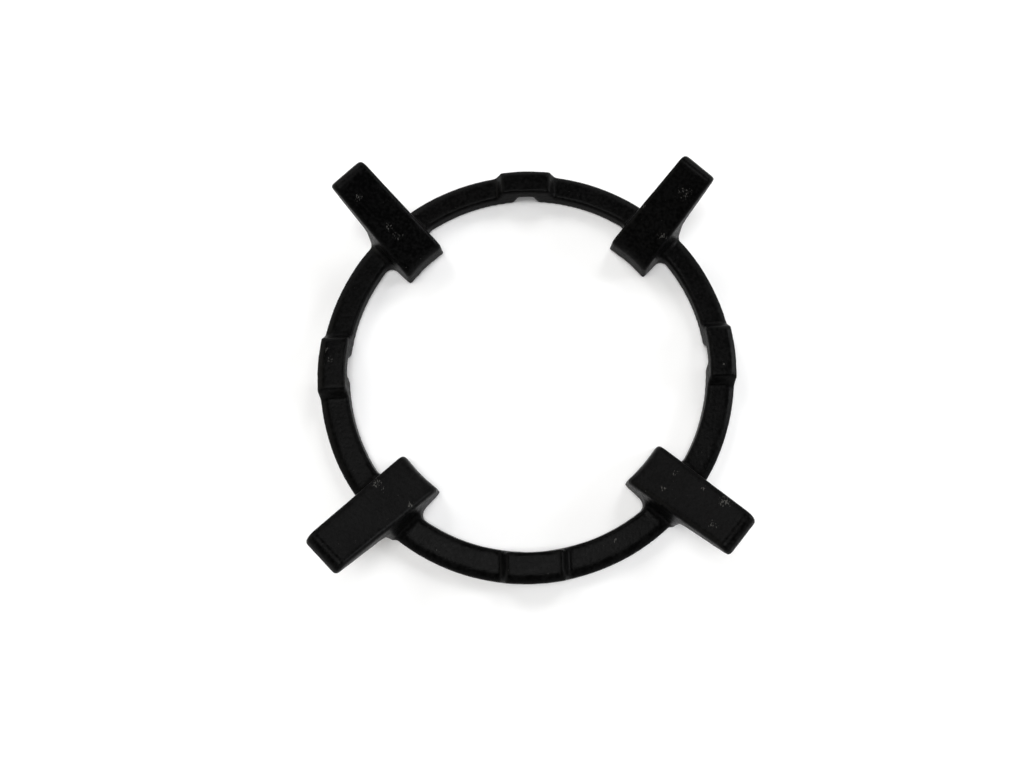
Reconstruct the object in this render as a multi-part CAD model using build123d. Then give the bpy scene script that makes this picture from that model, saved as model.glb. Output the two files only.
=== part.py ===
from build123d import *
import os
from math import cos, radians, sin, tan

# Cast-iron wok stand: a flat ring that lies on a gas hob's pan support. Inclined lugs cradle
# the wok, and raised bridges leave notches in the underside for the support's fingers.
# Millimetres and degrees. The underside is at Z = 0, and the ring's axis is the Z axis.

# Ring
RING_OUTER_DIAMETER = 181.0
RING_WIDTH = 11.85
RING_THICKNESS = 6.2
INNER_WALL_DRAFT = 2.3
RIM_BEVEL_WIDTH = 2.9
RIM_BEVEL_DROP = 1.6
RIM_ROUND = 1.0

# Raised bridges, with a notch below each
BRIDGE_COUNT = 4
BRIDGE_TOP_LENGTH = 21.7
BRIDGE_RAISE = 5.0
BRIDGE_END_RUN = 2.7
NOTCH_MOUTH_WIDTH = 12.0
NOTCH_CEILING_WIDTH = 6.7
NOTCH_DEPTH = 5.0

# Inclined lugs, midway between the bridges
LUG_INNER_REACH = 12.8
LUG_OUTER_REACH = 15.2
LUG_INNER_RISE = 4.85
LUG_INCLINE = 34.8
LUG_BASE_WIDTH = 21.4
LUG_SIDE_DRAFT = 3.5
LUG_END_THICKNESS = 5.8
LUG_END_BEVEL_LENGTH = 1.8
LUG_END_BEVEL_DEPTH = 2.1
LUG_INNER_BEVEL = 1.5
LUG_UNDERSIDE_INCLINE = 40.7
LUG_WEB_PROUD = 0.8
LUG_GUSSET_RADIUS = 9.0
LUG_EDGE_ROUND = 1.0
LUG_ROOT_FILLET = 3.5

# Sizes that follow from the driving dimensions
ring_outer_radius = RING_OUTER_DIAMETER / 2
ring_inner_radius = ring_outer_radius - RING_WIDTH
bridge_height = RING_THICKNESS + BRIDGE_RAISE
lug_end_radius = ring_inner_radius - LUG_INNER_REACH
lug_end_height = RING_THICKNESS + LUG_INNER_RISE


def round_corners(face, corners, radius):
    """Rounds the corners of a flat face that lie nearest to the given points."""
    chosen = [face.vertices().sort_by_distance(Vector(*corner))[0] for corner in corners]
    return fillet(chosen, radius)


def ring_section(height):
    """Section of the ring as (radius, height), with a bevel along the outer top edge."""
    inner_foot = (ring_inner_radius, 0)
    outer_foot = (ring_outer_radius, 0)
    bevel_foot = (ring_outer_radius, height - RIM_BEVEL_DROP)
    bevel_top = (ring_outer_radius - RIM_BEVEL_WIDTH, height)
    inner_top = (ring_inner_radius + height * tan(radians(INNER_WALL_DRAFT)), height)
    face = make_face(Polyline(inner_foot, outer_foot, bevel_foot, bevel_top, inner_top, close=True))
    face = round_corners(face, [bevel_foot], RIM_ROUND)
    return Plane.XZ * face


def radial_wedge(low_width, low, high_width, high, length):
    """Prism along +X from the axis, as wide as given at its low and high levels."""
    outline = Polyline(
        (-low_width / 2, low),
        (low_width / 2, low),
        (high_width / 2, high),
        (-high_width / 2, high),
        close=True,
    )
    return extrude(Plane.YZ * make_face(outline), length)


def bridge():
    """Raised stretch of the ring on +X, with sloping ends."""
    tall_ring = revolve(ring_section(bridge_height), Axis.Z)
    end_slope = BRIDGE_END_RUN / BRIDGE_RAISE
    foot_length = BRIDGE_TOP_LENGTH + 2 * bridge_height * end_slope
    wedge = radial_wedge(foot_length, 0, BRIDGE_TOP_LENGTH, bridge_height, RING_OUTER_DIAMETER)
    return tall_ring & wedge


def notch():
    """Channel in the underside on +X, which seats on a finger of the pan support."""
    return radial_wedge(NOTCH_MOUTH_WIDTH, 0, NOTCH_CEILING_WIDTH, NOTCH_DEPTH, RING_OUTER_DIAMETER)


def lug():
    """Inclined lug on +X: a tapering bar over a web that stands on the ring."""
    incline = radians(LUG_INCLINE)
    along = Vector(cos(incline), sin(incline))
    down = Vector(sin(incline), -cos(incline))
    web_radius = ring_outer_radius + LUG_WEB_PROUD

    start_radius = lug_end_radius - LUG_BASE_WIDTH / 2
    top_start = Vector(start_radius, lug_end_height - LUG_BASE_WIDTH / 2 * tan(incline))
    top_run = ring_outer_radius + LUG_OUTER_REACH - start_radius
    top_end = top_start + along * (top_run / cos(incline))
    bevel_foot = top_end + along * LUG_END_BEVEL_LENGTH + down * LUG_END_BEVEL_DEPTH
    end_foot = bevel_foot + down * (LUG_END_THICKNESS - LUG_END_BEVEL_DEPTH)
    underside_drop = (end_foot.X - web_radius) * tan(radians(LUG_UNDERSIDE_INCLINE))
    gusset = Vector(web_radius, end_foot.Y - underside_drop)
    web_foot = Vector(web_radius, 0)
    start_foot = Vector(start_radius, 0)

    outline = Polyline(start_foot, web_foot, gusset, end_foot, bevel_foot, top_end, top_start, close=True)
    face = round_corners(make_face(outline), [(gusset.X, gusset.Y)], LUG_GUSSET_RADIUS)
    bar = extrude(Plane.XZ * face, LUG_BASE_WIDTH / 2, both=True)

    top_width = LUG_BASE_WIDTH - 2 * top_end.Y * tan(radians(LUG_SIDE_DRAFT))
    bar &= radial_wedge(LUG_BASE_WIDTH, 0, top_width, top_end.Y, end_foot.X)
    bar -= Cylinder(lug_end_radius, top_end.Y, align=(Align.CENTER, Align.CENTER, Align.MIN))
    inner_edge = bar.edges().sort_by_distance((lug_end_radius, 0, lug_end_height))[0]
    bar = chamfer(inner_edge, LUG_INNER_BEVEL)
    across = bar.faces().sort_by(Axis.Y)
    side_edges = across[0].edges() + across[-1].edges()
    return fillet(side_edges.filter_by(lambda edge: edge.center().Z > LUG_EDGE_ROUND), LUG_EDGE_ROUND)


def around(solid, count, first_angle):
    """Copies of a solid, evenly spaced about the ring's axis."""
    return [Rot(Z=first_angle + step * 360 / count) * solid for step in range(count)]


def inside_rim(edge):
    """Whether an edge lies inside the ring's outer bevel."""
    return Vector(edge.center().X, edge.center().Y).length < ring_outer_radius - RIM_BEVEL_WIDTH


casting = revolve(ring_section(RING_THICKNESS), Axis.Z)
casting += around(bridge(), BRIDGE_COUNT, 0)
casting -= around(notch(), BRIDGE_COUNT, 0)
for one_lug in around(lug(), BRIDGE_COUNT, 180 / BRIDGE_COUNT):
    joined = casting + one_lug
    seam = new_edges(casting, one_lug, combined=joined)
    casting = fillet(seam.filter_by(inside_rim), LUG_ROOT_FILLET)

os.makedirs("parts", exist_ok=True)
export_step(casting, "parts/stand_casting.step")
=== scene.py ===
from math import cos, radians, sin, sqrt, tan

import bpy
import numpy as np
from mathutils import Matrix, Vector, noise


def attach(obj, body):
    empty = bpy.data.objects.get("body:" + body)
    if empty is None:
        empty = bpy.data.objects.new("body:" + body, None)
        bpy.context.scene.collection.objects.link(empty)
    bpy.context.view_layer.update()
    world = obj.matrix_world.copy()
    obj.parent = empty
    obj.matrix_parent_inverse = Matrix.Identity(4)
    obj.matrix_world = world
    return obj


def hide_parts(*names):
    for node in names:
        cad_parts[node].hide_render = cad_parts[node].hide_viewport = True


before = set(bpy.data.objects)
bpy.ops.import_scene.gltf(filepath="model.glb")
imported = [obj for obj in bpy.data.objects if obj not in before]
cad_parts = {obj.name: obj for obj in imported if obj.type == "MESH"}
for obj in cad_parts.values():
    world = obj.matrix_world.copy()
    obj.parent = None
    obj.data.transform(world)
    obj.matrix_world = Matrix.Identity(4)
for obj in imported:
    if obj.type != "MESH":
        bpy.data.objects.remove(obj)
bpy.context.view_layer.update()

scene = bpy.context.scene
scene.view_settings.view_transform = "Standard"

MM = 0.001

# Camera, with its angles in degrees and its lens in pixels of the picture
IMAGE_WIDTH = 1024
SENSOR_WIDTH = 36.0
CAMERA_PLACE = Vector((-0.778, -84.718, 355.719)) * MM
CAMERA_ELEVATION = 68.083
CAMERA_AZIMUTH = -9.411
CAMERA_ROLL = 7.337
CAMERA_CLIP_START = 0.01
FOCAL_PIXELS = 812.04
PRINCIPAL_RIGHT = 62.92
PRINCIPAL_UP = 140.0

# Skin of the casting
QUAD_SIZE = 0.65 * MM
SOFTENING_ROUNDS = 16
LUG_SOFTENING = 0.3
RING_SOFTENING = 0.15
SOFTENING_CHANGE = (12.0 * MM, 16.0 * MM)
SOFTENING_LOSS = 0.2 * MM
WAVE_HEIGHT = 0.06 * MM
WAVE_LENGTH = 11.0 * MM
GRAIN_HEIGHT = 0.03 * MM
GRAIN_LENGTH = 1.5 * MM
SHARPEST_CURVE = 0.04 * MM

# Iron, with the scales of its noises per millimetre
MOTTLE_SCALE = 0.07
GRAIN_SCALE = 0.75
SPECKLE_SCALE = 1.9
FINE_DETAIL = 3.0
SPECKLE_DETAIL = 1.0
MOTTLE_IN_TONE = 0.35
GRAIN_IN_TONE = 0.65
TONE_RANGE = (0.38, 0.66)
DARK_IRON = (0.0008, 0.0008, 0.0008, 1)
LIGHT_IRON = (0.0032, 0.0032, 0.0032, 1)
ROUGHNESS_GRAIN = (0.3, 0.7)
ROUGHNESS_RANGE = (0.28, 0.40)
IRON_SPECULAR = 0.033
GRAIN_IN_BUMP = 0.7
SPECKLE_IN_BUMP = 0.3
BUMP_STRENGTH = 1.0
BUMP_HEIGHT = 0.17 * MM

# Lighter metal on the edges, partly rubbed wear and partly a painted glint, and worn metal in the scuffs
WORN_AND_GLINT_IRON = (0.05, 0.049, 0.046, 1)
RUBBED_AND_GLINT_EDGE = (0.3, 0.9)
RUBBED_AND_GLINT_SPECKLE = (0.5, 0.7)
RUBBED_AND_GLINT_SHARE = 0.04
STROKE_TURN = (0, 0, 0.6)
STROKE_SCALE = (1.5, 0.6, 1)
BROKEN_SCALE = 1.3
SCUFF_REACH = 2.0
SCUFF_WEIGHT = 0.23
SCUFF_RANGE = (0.71, 0.8)

# Scuffs on the lugs' tops for each lug's bearing, as (distance from the axis, place across, size).
# These and the chips are in millimetres and degrees.
LUG_INNER_RADIUS = 65.85
LUG_INNER_HEIGHT = 11.05
LUG_INCLINE = 34.8
LUG_SCUFFS = {
    45: [(96.8, -2.6, 2.6), (79.3, -6.2, 2.0), (83.2, 8.0, 1.3)],
    135: [(83.5, 2.1, 1.6), (79.0, 2.2, 1.8), (98.9, 3.8, 1.6)],
    225: [(79.8, -8.0, 2.2), (79.5, -4.3, 1.2), (76.4, 7.8, 1.2), (85.7, 6.3, 1.0)],
    315: [(77.1, 4.0, 1.3), (77.5, -3.5, 1.2), (97.6, 6.4, 2.6), (99.1, -3.7, 1.7), (88.7, 5.9, 1.1)],
}

# Chips on the ring and bridges, as (distance from the axis, bearing, height, size)
RING_CHIPS = [
    (82.4, -66.7, 6.2, 1.1),
    (84.6, -4.0, 11.2, 0.9),
    (87.3, 175.8, 11.2, 1.2),
    (85.1, 178.9, 11.2, 1.2),
]

# Floor
FLOOR_REACH = 6.0
FLOOR_COLOUR = (0.92, 0.92, 0.92, 1)
FLOOR_ROUGHNESS = 0.9
FLOOR_SPECULAR = 0.0
FLOOR_GLOW = 0.1
WHITE = (1, 1, 1, 1)

# Walls and ceiling of the room, with heights in degrees above the horizon
WALL_TOP = 16
CEILING_FOOT = 34
WALL_STRENGTH = 1.0
CEILING_STRENGTH = 0.01

# Soft lights, as (azimuth, elevation, angle across, strength, colour), with 0 along +X and 90 along +Y
NEUTRAL = (1, 1, 1)
COOL = (0.97, 0.98, 1)
WARM = (1, 0.94, 0.82)
SUNS = {
    "overhead": (270, 88, 24, 0.85, NEUTRAL),
    "left_overhead": (185, 78, 24, 0.65, NEUTRAL),
    "right_overhead": (340, 76, 24, 0.12, NEUTRAL),
    "right_window": (8, 17, 24, 1.5, COOL),
    "left_window": (170, 20, 44, 0.6, WARM),
    "far_right_window": (57, 35, 22, 0.75, NEUTRAL),
    "far_left_window": (123, 35, 22, 0.75, NEUTRAL),
}


def add_camera():
    """Camera at the photograph's viewing angle, with the shift that its framing needs."""
    elevation = radians(CAMERA_ELEVATION)
    azimuth = radians(CAMERA_AZIMUTH)
    roll = radians(CAMERA_ROLL)
    back = Vector((sin(azimuth) * cos(elevation), -cos(azimuth) * cos(elevation), sin(elevation)))
    level = Vector((cos(azimuth), sin(azimuth), 0))
    upright = back.cross(level)
    right = cos(roll) * level + sin(roll) * upright
    up = cos(roll) * upright - sin(roll) * level
    data = bpy.data.cameras.new("camera")
    data.sensor_fit = "HORIZONTAL"
    data.sensor_width = SENSOR_WIDTH
    data.lens = FOCAL_PIXELS / IMAGE_WIDTH * SENSOR_WIDTH
    data.shift_x = -PRINCIPAL_RIGHT / IMAGE_WIDTH
    data.shift_y = -PRINCIPAL_UP / IMAGE_WIDTH
    data.clip_start = CAMERA_CLIP_START
    camera = bpy.data.objects.new("camera", data)
    turn = Matrix((right, up, back)).transposed().to_4x4()
    camera.matrix_world = Matrix.Translation(CAMERA_PLACE) @ turn
    scene.collection.objects.link(camera)
    scene.camera = camera


class Nodes:
    """A short way to add linked nodes to a tree."""

    def __init__(self, tree):
        self.tree = tree

    def add(self, kind, inputs=None, output=0, **settings):
        """One output of a new node, with each input set to a value or linked to another node's socket."""
        made = self.tree.nodes.new(kind)
        for name, value in settings.items():
            setattr(made, name, value)
        for name, value in (inputs or {}).items():
            if isinstance(value, bpy.types.NodeSocket):
                self.tree.links.new(value, made.inputs[name])
            else:
                made.inputs[name].default_value = value
        return made.outputs[output]

    def math(self, operation, first, second):
        """Two values joined by an operation."""
        return self.add("ShaderNodeMath", {0: first, 1: second}, operation=operation)

    def blend(self, first, first_share, second, second_share):
        """Sum of two values in the given shares."""
        first_part = self.math("MULTIPLY", first, first_share)
        return self.math("ADD", first_part, self.math("MULTIPLY", second, second_share))

    def ramp(self, value, low, high, start=0.0, end=1.0):
        """A smooth step from start at the low value to end at the high one."""
        steps = {"Value": value, "From Min": low, "From Max": high, "To Min": start, "To Max": end}
        return self.add("ShaderNodeMapRange", steps, interpolation_type="SMOOTHSTEP")

    def noise(self, place, scale, detail):
        """Cloudy values from 0 to 1."""
        return self.add("ShaderNodeTexNoise", {"Vector": place, "Scale": scale, "Detail": detail})

    def mix(self, factor, first, second):
        """The first colour where the factor is 0, and the second where it is 1."""
        return self.add("ShaderNodeMix", {0: factor, 6: first, 7: second}, 2, data_type="RGBA")


def new_material(name):
    """A material, its nodes and its surface shader."""
    material = bpy.data.materials.new(name)
    material.use_nodes = True
    tree = material.node_tree
    return material, Nodes(tree), tree.nodes["Principled BSDF"]


def worn_places():
    """Middle and size in millimetres of each scuff and chip."""
    spots = []
    for bearing, scuffs in LUG_SCUFFS.items():
        cosine = cos(radians(bearing))
        sine = sin(radians(bearing))
        for radius, across, size in scuffs:
            height = LUG_INNER_HEIGHT + (radius - LUG_INNER_RADIUS) * tan(radians(LUG_INCLINE))
            middle = (radius * cosine - across * sine, radius * sine + across * cosine, height)
            spots.append((middle, size))
    for radius, bearing, height, size in RING_CHIPS:
        middle = (radius * cos(radians(bearing)), radius * sin(radians(bearing)), height)
        spots.append((middle, size))
    return spots


def cast_iron():
    """Matt black iron with a mottled cast grain, lighter edges that are partly rubbed wear and partly a
    painted glint, and a few scuffs.
    """
    material, nodes, shader = new_material("cast_iron")
    tree = nodes.tree
    metres = nodes.add("ShaderNodeTexCoord", output="Object")
    place = nodes.add("ShaderNodeVectorMath", {0: metres, "Scale": 1 / MM}, operation="SCALE")

    mottle = nodes.noise(place, MOTTLE_SCALE, FINE_DETAIL)
    grain = nodes.noise(place, GRAIN_SCALE, FINE_DETAIL)
    speckle = nodes.noise(place, SPECKLE_SCALE, SPECKLE_DETAIL)

    tone = nodes.blend(mottle, MOTTLE_IN_TONE, grain, GRAIN_IN_TONE)
    iron = nodes.mix(nodes.ramp(tone, *TONE_RANGE), DARK_IRON, LIGHT_IRON)

    edge = nodes.add("ShaderNodeAttribute", output="Fac", attribute_name="edge")
    # Lighter edges: partly rubbed wear, partly a painted glint along the convex edges.
    rubbed_and_glint = nodes.math("MULTIPLY", nodes.ramp(edge, *RUBBED_AND_GLINT_EDGE), nodes.ramp(speckle, *RUBBED_AND_GLINT_SPECKLE))
    worn_and_glint = nodes.math("MULTIPLY", rubbed_and_glint, RUBBED_AND_GLINT_SHARE)
    turned = {"Vector": place, "Rotation": STROKE_TURN, "Scale": STROKE_SCALE}
    strokes = nodes.add("ShaderNodeMapping", turned)
    broken = nodes.noise(strokes, BROKEN_SCALE, FINE_DETAIL)
    for middle, size in worn_places():
        ends = {0: place, 1: middle}
        distance = nodes.add("ShaderNodeVectorMath", ends, "Value", operation="DISTANCE")
        patch = nodes.ramp(distance, 0, size * SCUFF_REACH, SCUFF_WEIGHT, 0.0)
        scuff = nodes.ramp(nodes.math("ADD", patch, broken), *SCUFF_RANGE)
        worn_and_glint = nodes.math("MAXIMUM", worn_and_glint, scuff)
    # Worn colour: real wear in the scuffs; on the edges, partly wear and partly a painted glint.
    tree.links.new(nodes.mix(worn_and_glint, iron, WORN_AND_GLINT_IRON), shader.inputs["Base Color"])

    roughness = nodes.ramp(grain, *ROUGHNESS_GRAIN, *ROUGHNESS_RANGE)
    tree.links.new(roughness, shader.inputs["Roughness"])
    shader.inputs["Specular IOR Level"].default_value = IRON_SPECULAR

    relief = nodes.blend(grain, GRAIN_IN_BUMP, speckle, SPECKLE_IN_BUMP)
    bumps = {"Strength": BUMP_STRENGTH, "Distance": BUMP_HEIGHT, "Height": relief}
    tree.links.new(nodes.add("ShaderNodeBump", bumps), shader.inputs["Normal"])
    return material


def floor_material():
    """Matt white that stays white where the light on it falls off, but keeps its shadows."""
    material, nodes, shader = new_material("floor")
    shader.inputs["Base Color"].default_value = FLOOR_COLOUR
    shader.inputs["Roughness"].default_value = FLOOR_ROUGHNESS
    shader.inputs["Specular IOR Level"].default_value = FLOOR_SPECULAR
    shader.inputs["Emission Color"].default_value = WHITE
    rays = nodes.tree.nodes.new("ShaderNodeLightPath").outputs
    seen = nodes.math("MAXIMUM", rays["Is Camera Ray"], rays["Is Glossy Ray"])
    seen = nodes.math("MAXIMUM", seen, rays["Is Transmission Ray"])
    glow = nodes.math("MULTIPLY", seen, FLOOR_GLOW)
    nodes.tree.links.new(glow, shader.inputs["Emission Strength"])
    return material


def add_floor():
    """Level floor under the casting."""
    mesh = bpy.data.meshes.new("floor")
    corners = [
        (-FLOOR_REACH, -FLOOR_REACH, 0),
        (FLOOR_REACH, -FLOOR_REACH, 0),
        (FLOOR_REACH, FLOOR_REACH, 0),
        (-FLOOR_REACH, FLOOR_REACH, 0),
    ]
    mesh.from_pydata(corners, [], [(0, 1, 2, 3)])
    mesh.materials.append(floor_material())
    floor = bpy.data.objects.new("floor", mesh)
    scene.collection.objects.link(floor)


def add_sun(name, azimuth, elevation, angle, strength, colour):
    """Soft light from a direction that is given in degrees."""
    turn = radians(azimuth)
    climb = radians(elevation)
    towards = Vector((cos(turn) * cos(climb), sin(turn) * cos(climb), sin(climb)))
    data = bpy.data.lights.new(name, "SUN")
    data.energy = strength
    data.angle = radians(angle)
    data.color = colour
    lamp = bpy.data.objects.new(name, data)
    lamp.rotation_mode = "QUATERNION"
    lamp.rotation_quaternion = towards.to_track_quat("Z", "Y")
    scene.collection.objects.link(lamp)


def add_world():
    """White walls round the horizon under a dark ceiling."""
    world = bpy.data.worlds.new("world")
    scene.world = world
    world.use_nodes = True
    tree = world.node_tree
    nodes = Nodes(tree)
    direction = nodes.add("ShaderNodeTexCoord", output="Generated")
    height = nodes.add("ShaderNodeSeparateXYZ", {0: direction}, "Z")
    wall_top = sin(radians(WALL_TOP))
    ceiling_foot = sin(radians(CEILING_FOOT))
    strength = nodes.ramp(height, wall_top, ceiling_foot, WALL_STRENGTH, CEILING_STRENGTH)
    background = tree.nodes["Background"]
    tree.links.new(strength, background.inputs["Strength"])
    background.inputs["Color"].default_value = WHITE


def even_mesh(node):
    """The casting's surface in even quads."""
    made = bpy.data.objects.new("even", node.data.copy())
    scene.collection.objects.link(made)
    quads = made.modifiers.new("quads", "REMESH")
    quads.mode = "VOXEL"
    quads.voxel_size = QUAD_SIZE
    mesh = bpy.data.meshes.new_from_object(made.evaluated_get(bpy.context.evaluated_depsgraph_get()))
    bpy.data.objects.remove(made)
    return mesh


def vertex_values(mesh, name):
    """Place or normal of every vertex, as rows of three."""
    values = np.zeros(len(mesh.vertices) * 3)
    mesh.vertices.foreach_get(name, values)
    return values.reshape(-1, 3)


def edge_ends(mesh):
    """The two vertices of every edge."""
    ends = np.zeros(len(mesh.edges) * 2, np.int32)
    mesh.edges.foreach_get("vertices", ends)
    return ends.reshape(-1, 2)


def neighbour_middles(points, ends):
    """Middle of the vertices that edges join to each vertex."""
    total = np.zeros_like(points)
    np.add.at(total, ends[:, 0], points[ends[:, 1]])
    np.add.at(total, ends[:, 1], points[ends[:, 0]])
    return total / np.bincount(ends.ravel())[:, None]


def soften(points, ends):
    """Rounds the edges, those of the lugs more than those of the ring."""
    across = np.abs(np.abs(points[:, 0]) - np.abs(points[:, 1])) / sqrt(2)
    share = np.interp(across, SOFTENING_CHANGE, (LUG_SOFTENING, RING_SOFTENING))[:, None]
    for _ in range(SOFTENING_ROUNDS):
        points = points + share * (neighbour_middles(points, ends) - points)
    return points


def cast_relief(point):
    """Slight waves and grain of a sand casting at a point."""
    wave = noise.noise(Vector(point) / WAVE_LENGTH) * WAVE_HEIGHT
    return wave + noise.noise(Vector(point) / GRAIN_LENGTH) * GRAIN_HEIGHT


def add_skin(node):
    """The casting as it is seen, with soft edges and a cast surface."""
    mesh = even_mesh(node)
    mesh.name = "stand_skin"
    ends = edge_ends(mesh)
    points = soften(vertex_values(mesh, "co"), ends)
    mesh.vertices.foreach_set("co", points.ravel())
    mesh.update()
    normals = vertex_values(mesh, "normal")
    standing_out = ((points - neighbour_middles(points, ends)) * normals).sum(1)
    edge = mesh.attributes.new("edge", "FLOAT", "POINT")
    edge.data.foreach_set("value", np.clip(standing_out / SHARPEST_CURVE, 0, 1))
    relief = np.array([cast_relief(point) for point in points])
    points += normals * (SOFTENING_LOSS + relief)[:, None]
    points[:, 2] = np.maximum(points[:, 2], 0)
    mesh.vertices.foreach_set("co", points.ravel())
    mesh.shade_smooth()
    mesh.materials.clear()
    mesh.materials.append(cast_iron())
    skin = bpy.data.objects.new("stand_skin", mesh)
    scene.collection.objects.link(skin)
    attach(skin, "root")
    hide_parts("stand_casting")


add_camera()
add_world()
add_floor()
for sun_name, sun in SUNS.items():
    add_sun(sun_name, *sun)
add_skin(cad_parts["stand_casting"])
